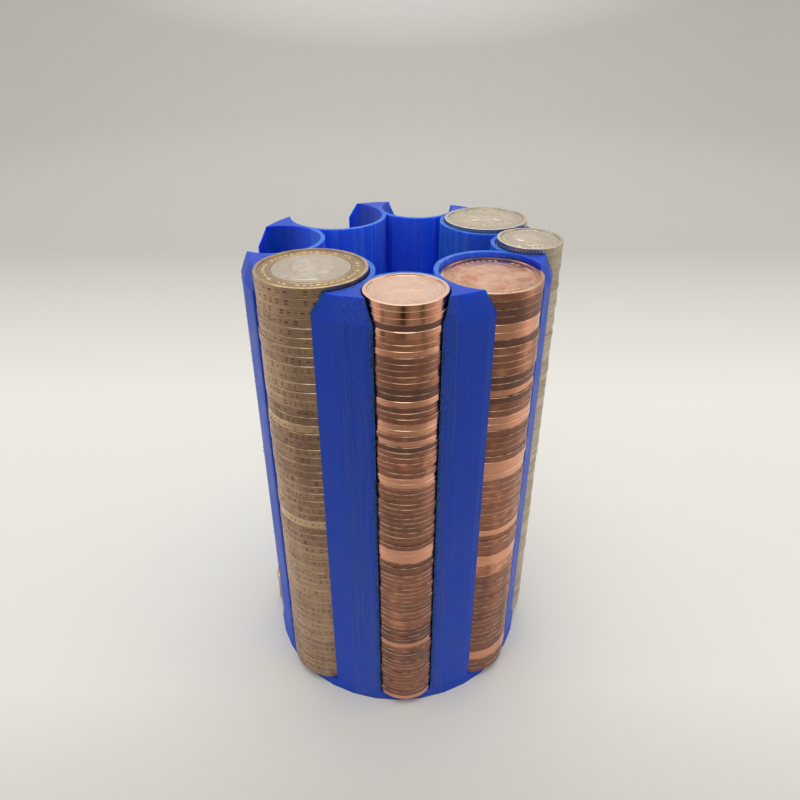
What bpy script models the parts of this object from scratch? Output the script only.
"""Coin stacker: a printed holder with eight open coin tubes round a central well, and the coins in it.

Metres, +Z up. The origin is the centre of the holder's underside, and -Y is the photographed front.
"""
import math
from collections import namedtuple

import bmesh
import bpy
from mathutils import Matrix, Vector

# Holder
HOLDER_HEIGHT = 0.1395
FLOOR_THICKNESS = 0.003
TUBE_WALL = 0.0012
TUBE_CLEARANCE = 0.0004
COIN_PROTRUSION = 0.0024
LEAD_IN_HEIGHT = 0.0057
LEAD_IN_DEPTH = 0.0022
SLOT_MOUTH_SHARE = 0.79
SLOT_FLARE_DEPTH = 0.0012
FOOT_SPREAD = 0.0005
FOOT_HEIGHT = 0.0035
OUTER_FACETS = 36
FIRST_TUBE_ANGLE = math.radians(-133.4)

# Coins
LARGE_BIMETAL_DIAMETER = 0.0284
LARGE_BIMETAL_THICKNESS = 0.0025
LARGE_BIMETAL_CORE = 0.020
SMALL_COPPER_DIAMETER = 0.0203
SMALL_COPPER_THICKNESS = 0.00165
LARGE_COPPER_DIAMETER = 0.0259
LARGE_COPPER_THICKNESS = 0.00202
LARGE_COPPER_SHORTAGE = 1
SMALL_SILVER_DIAMETER = 0.0180
SMALL_SILVER_THICKNESS = 0.00189
LARGE_SILVER_DIAMETER = 0.0245
LARGE_SILVER_THICKNESS = 0.00205
SMALL_HEPTAGON_DIAMETER = 0.0214
LARGE_HEPTAGON_DIAMETER = 0.0273
TWELVE_SIDED_DIAMETER = 0.02343
TWELVE_SIDED_THICKNESS = 0.0028
TWELVE_SIDED_COUNT = 4
TWELVE_SIDED_CORE = 0.0152
COIN_RIM_WIDTH = 0.0010
COIN_FIELD_DEPTH = 0.0002
STACK_GAP = 0.00015
CORE_GAP = 0.0001
LOOSE_COINS = 3

# Mesh fineness
WELL_STEPS = 144
BORE_STEPS = 72
COIN_STEPS = 32
PILE_STEPS = 48
TWELVE_SIDES = 12
CUT_OVERRUN = 0.002
MERGE_DISTANCE = 0.00001
SHARP_ANGLE = math.radians(32)
BISECTIONS = 60

Tube = namedtuple("Tube", "name diameter thickness count core sides metal")


def full_count(thickness):
    """Fewest coins that bring a stack up to the holder's rim."""
    return math.ceil((HOLDER_HEIGHT - FLOOR_THICKNESS) / thickness)


TUBES = (
    Tube("large_bimetal", LARGE_BIMETAL_DIAMETER, LARGE_BIMETAL_THICKNESS,
         full_count(LARGE_BIMETAL_THICKNESS), LARGE_BIMETAL_CORE, COIN_STEPS, "nickel_brass"),
    Tube("small_copper", SMALL_COPPER_DIAMETER, SMALL_COPPER_THICKNESS,
         full_count(SMALL_COPPER_THICKNESS), 0, COIN_STEPS, "copper_plate"),
    Tube("large_copper", LARGE_COPPER_DIAMETER, LARGE_COPPER_THICKNESS,
         full_count(LARGE_COPPER_THICKNESS) - LARGE_COPPER_SHORTAGE, 0, COIN_STEPS, "copper_plate"),
    Tube("small_silver", SMALL_SILVER_DIAMETER, SMALL_SILVER_THICKNESS,
         full_count(SMALL_SILVER_THICKNESS), 0, COIN_STEPS, "nickel_plate"),
    Tube("large_silver", LARGE_SILVER_DIAMETER, LARGE_SILVER_THICKNESS,
         full_count(LARGE_SILVER_THICKNESS), 0, COIN_STEPS, "nickel_plate"),
    Tube("small_heptagon", SMALL_HEPTAGON_DIAMETER, 0, 0, 0, 0, None),
    Tube("large_heptagon", LARGE_HEPTAGON_DIAMETER, 0, 0, 0, 0, None),
    Tube("twelve_sided", TWELVE_SIDED_DIAMETER, TWELVE_SIDED_THICKNESS, TWELVE_SIDED_COUNT,
         TWELVE_SIDED_CORE, TWELVE_SIDES, "nickel_brass"),
)


# Layout of the tubes
def centre_distance(tube, holder_radius):
    """Distance of a tube's axis from the holder's, with its coins standing proud of the outside."""
    return holder_radius + COIN_PROTRUSION - tube.diameter / 2


def bore_radius(tube):
    return tube.diameter / 2 + TUBE_CLEARANCE


def angle_between(tube, neighbour, holder_radius):
    """Angle at the holder's axis between two tubes that share one wall."""
    near = centre_distance(tube, holder_radius)
    far = centre_distance(neighbour, holder_radius)
    apart = bore_radius(tube) + TUBE_WALL + bore_radius(neighbour)
    cosine = (near * near + far * far - apart * apart) / (2 * near * far)
    return math.acos(max(-1.0, cosine))


def tube_angles(holder_radius):
    """Angles from each tube to the next, round the whole ring."""
    neighbours = TUBES[1:] + TUBES[:1]
    return [angle_between(tube, neighbour, holder_radius) for tube, neighbour in zip(TUBES, neighbours)]


def solve_holder_radius():
    """Outer radius at which the tubes, one wall apart, just close the ring."""
    widest = max(tube.diameter for tube in TUBES)
    low = widest
    high = widest * len(TUBES)
    for _ in range(BISECTIONS):
        middle = (low + high) / 2
        if sum(tube_angles(middle)) > 2 * math.pi:
            low = middle
        else:
            high = middle
    return high


HOLDER_RADIUS = solve_holder_radius()


def tube_places():
    """Plan position and angle of every tube's axis, anticlockwise from the first."""
    places = []
    angle = FIRST_TUBE_ANGLE
    for tube, step in zip(TUBES, tube_angles(HOLDER_RADIUS)):
        distance = centre_distance(tube, HOLDER_RADIUS)
        places.append((Vector((distance * math.cos(angle), distance * math.sin(angle), 0)), angle))
        angle += step
    return places


PLACES = tube_places()


# Scene helpers
def clear_scene():
    for obj in list(bpy.data.objects):
        bpy.data.objects.remove(obj, do_unlink=True)


def new_collection(name):
    collection = bpy.data.collections.new(name)
    bpy.context.scene.collection.children.link(collection)
    return collection


def add_object(name, mesh, collection):
    obj = bpy.data.objects.new(name, mesh)
    collection.objects.link(obj)
    return obj


def make_material(name, colour, roughness, metallic):
    """Principled material of one plain colour, given in linear RGB."""
    material = bpy.data.materials.new(name)
    material.use_nodes = True
    shader = material.node_tree.nodes["Principled BSDF"]
    shader.inputs["Base Color"].default_value = (*colour, 1)
    shader.inputs["Roughness"].default_value = roughness
    shader.inputs["Metallic"].default_value = metallic
    return material


def as_cutter(obj):
    obj.hide_render = True
    obj.display_type = "WIRE"
    return obj


def turned(name, profile, steps, collection, closed=False):
    """Solid turned about its own Z axis from (radius, height) points, outer side downwards."""
    edges = [(i, i + 1) for i in range(len(profile) - 1)]
    if closed:
        edges.append((len(profile) - 1, 0))
    mesh = bpy.data.meshes.new(name)
    mesh.from_pydata([(radius, 0, height) for radius, height in profile], edges, [])
    obj = add_object(name, mesh, collection)
    screw = obj.modifiers.new("turn", "SCREW")
    screw.steps = steps
    screw.render_steps = steps
    screw.use_merge_vertices = True
    screw.merge_threshold = MERGE_DISTANCE
    return obj


def cylinder(name, radius, bottom, top, steps, centre, collection):
    """Upright closed cylinder."""
    mesh = bpy.data.meshes.new(name)
    shape = bmesh.new()
    middle = Matrix.Translation((centre.x, centre.y, (bottom + top) / 2))
    bmesh.ops.create_cone(shape, cap_ends=True, segments=steps, radius1=radius, radius2=radius,
                          depth=top - bottom, matrix=middle)
    shape.to_mesh(mesh)
    shape.free()
    return add_object(name, mesh, collection)


def cut(target, cutter):
    modifier = target.modifiers.new(cutter.name, "BOOLEAN")
    modifier.operation = "DIFFERENCE"
    modifier.solver = "EXACT"
    modifier.object = cutter


def finish(obj, material):
    """Makes the evaluated shape the object's own mesh, smooth with crisp edges, in its material."""
    bpy.context.view_layer.update()
    evaluated = obj.evaluated_get(bpy.context.evaluated_depsgraph_get())
    mesh = bpy.data.meshes.new_from_object(evaluated)
    mesh.name = obj.name
    mesh.materials.clear()
    mesh.materials.append(material)
    mesh.shade_smooth()
    mesh.set_sharp_from_angle(angle=SHARP_ANGLE)
    obj.modifiers.clear()
    obj.data = mesh
    return obj


# Holder
def holder_blank(collection):
    """Many-sided outside of the holder: sloping lead-in at the rim, straight side and spread foot."""
    return turned("holder", [
        (0, HOLDER_HEIGHT),
        (HOLDER_RADIUS - LEAD_IN_DEPTH, HOLDER_HEIGHT),
        (HOLDER_RADIUS, HOLDER_HEIGHT - LEAD_IN_HEIGHT),
        (HOLDER_RADIUS, FOOT_HEIGHT),
        (HOLDER_RADIUS + FOOT_SPREAD, 0),
        (0, 0),
    ], OUTER_FACETS, collection)


def neck_radius():
    """Nearest that any two neighbouring tubes' line of centres comes to the holder's axis."""
    centres = [centre for centre, _ in PLACES]
    pairs = zip(centres, centres[1:] + centres[:1])
    return min(abs(one.cross(other).z) / (other - one).length for one, other in pairs)


def well_cutter(collection):
    """Scalloped space inside the ring of tube walls."""
    top = HOLDER_HEIGHT + CUT_OVERRUN
    well = cylinder("well", neck_radius(), FLOOR_THICKNESS, top, WELL_STEPS, Vector(), collection)
    for tube, (centre, _) in zip(TUBES, PLACES):
        wall = cylinder("wall_" + tube.name, bore_radius(tube) + TUBE_WALL, 0, top + CUT_OVERRUN,
                        BORE_STEPS, centre, collection)
        cut(well, as_cutter(wall))
    return as_cutter(well)


def slot_cutter(tube, angle, collection):
    """Wedge that opens a tube's slot to its mouth, with flared upright edges."""
    mouth_y = SLOT_MOUTH_SHARE * tube.diameter / 2
    mouth_x = math.sqrt(HOLDER_RADIUS ** 2 - mouth_y ** 2)
    inner = mouth_x - SLOT_FLARE_DEPTH
    outer = HOLDER_RADIUS + CUT_OVERRUN
    mesh = bpy.data.meshes.new("slot_" + tube.name)
    shape = bmesh.new()
    bmesh.ops.create_cube(shape, size=1)
    for vert in shape.verts:
        x = outer if vert.co.x > 0 else inner
        y = math.copysign(mouth_y + x - mouth_x, vert.co.y)
        z = HOLDER_HEIGHT + CUT_OVERRUN if vert.co.z > 0 else FLOOR_THICKNESS
        vert.co = Vector((x, y, z))
    bmesh.ops.rotate(shape, verts=shape.verts, cent=(0, 0, 0), matrix=Matrix.Rotation(angle, 3, "Z"))
    shape.to_mesh(mesh)
    shape.free()
    return as_cutter(add_object(mesh.name, mesh, collection))


def build_holder(parts, cutters, material):
    """Blank with eight bores, their flared slots and the well cut out of it down to the floor."""
    holder = holder_blank(parts)
    for tube, (centre, angle) in zip(TUBES, PLACES):
        bore = cylinder("bore_" + tube.name, bore_radius(tube), FLOOR_THICKNESS,
                        HOLDER_HEIGHT + CUT_OVERRUN, BORE_STEPS, centre, cutters)
        cut(holder, as_cutter(bore))
        cut(holder, slot_cutter(tube, angle, cutters))
    cut(holder, well_cutter(cutters))
    return finish(holder, material)


# Coins
def coin_profile(radius, half):
    """Raised rim round a sunk field on both faces."""
    field = half - COIN_FIELD_DEPTH
    land = radius - COIN_RIM_WIDTH
    return [(0, field), (land, field), (land, half), (radius, half),
            (radius, -half), (land, -half), (land, -field), (0, -field)]


def ring_profile(radius, bore, half):
    """Section of the outer ring of a two-metal coin."""
    field = half - COIN_FIELD_DEPTH
    land = radius - COIN_RIM_WIDTH
    return [(radius, half), (radius, -half), (land, -half), (land, -field),
            (bore, -field), (bore, field), (land, field), (land, half)]


def core_profile(radius, half):
    field = half - COIN_FIELD_DEPTH
    return [(0, field), (radius, field), (radius, -field), (0, -field)]


def build_ring(tube, name, half, parts, cutters):
    """Outer ring: turned through if it is round, or a many-sided coin with a round hole cut in it."""
    if tube.sides != TWELVE_SIDES:
        profile = ring_profile(tube.diameter / 2, tube.core / 2, half)
        return turned(name, profile, tube.sides, parts, closed=True)
    ring = turned(name, coin_profile(tube.diameter / 2, half), tube.sides, parts)
    hole = cylinder(name + "_hole", tube.core / 2, -half - CUT_OVERRUN, half + CUT_OVERRUN,
                    COIN_STEPS, Vector(), cutters)
    cut(ring, as_cutter(hole))
    return ring


def build_coin(tube, number, parts, cutters, materials):
    """One loose coin at the origin, in one piece or as an outer ring with its core parented to it."""
    half = (tube.thickness - STACK_GAP) / 2
    if not tube.core:
        profile = coin_profile(tube.diameter / 2, half)
        coin = turned(f"{tube.name}_coin_{number}", profile, tube.sides, parts)
        return finish(coin, materials[tube.metal])
    ring = build_ring(tube, f"{tube.name}_ring_{number}", half, parts, cutters)
    finish(ring, materials[tube.metal])
    profile = core_profile(tube.core / 2 - CORE_GAP, half)
    core = turned(f"{tube.name}_core_{number}", profile, COIN_STEPS, parts)
    finish(core, materials["cupro_nickel"])
    core.parent = ring
    return ring


def build_pile(tube, count, parts, material):
    """Lower coins of a full tube as one turned piece."""
    half = (count * tube.thickness - STACK_GAP) / 2
    radius = tube.diameter / 2
    profile = [(0, half), (radius, half), (radius, -half), (0, -half)]
    pile = turned(tube.name + "_pile", profile, PILE_STEPS, parts)
    return finish(pile, material)


def build_stack(tube, centre, holder, parts, cutters, materials):
    """Coins of one tube, each riding on the piece below it."""
    fused = max(0, tube.count - LOOSE_COINS) if tube.sides != TWELVE_SIDES else 0
    below = holder
    below_z = 0
    if fused:
        pile = build_pile(tube, fused, parts, materials[tube.metal])
        pile.parent = below
        below_z = FLOOR_THICKNESS + (fused * tube.thickness + STACK_GAP) / 2
        pile.location = (centre.x, centre.y, below_z)
        below = pile
    for index in range(fused, tube.count):
        coin = build_coin(tube, index - fused + 1, parts, cutters, materials)
        coin_z = FLOOR_THICKNESS + index * tube.thickness + (tube.thickness + STACK_GAP) / 2
        coin.parent = below
        plan = centre if below is holder else Vector()
        coin.location = (plan.x, plan.y, coin_z - below_z)
        below = coin
        below_z = coin_z


def main():
    clear_scene()
    parts = new_collection("coin_stacker")
    cutters = new_collection("cutters")
    blue_plastic = make_material("blue_pla", (0.012, 0.045, 0.36), 0.42, 0)
    materials = {
        "nickel_brass": make_material("nickel_brass", (0.46, 0.34, 0.16), 0.36, 1),
        "cupro_nickel": make_material("cupro_nickel", (0.52, 0.49, 0.43), 0.34, 1),
        "copper_plate": make_material("copper_plate", (0.52, 0.22, 0.12), 0.38, 1),
        "nickel_plate": make_material("nickel_plate", (0.52, 0.50, 0.46), 0.32, 1),
    }
    holder = build_holder(parts, cutters, blue_plastic)
    for tube, (centre, _) in zip(TUBES, PLACES):
        build_stack(tube, centre, holder, parts, cutters, materials)


main()
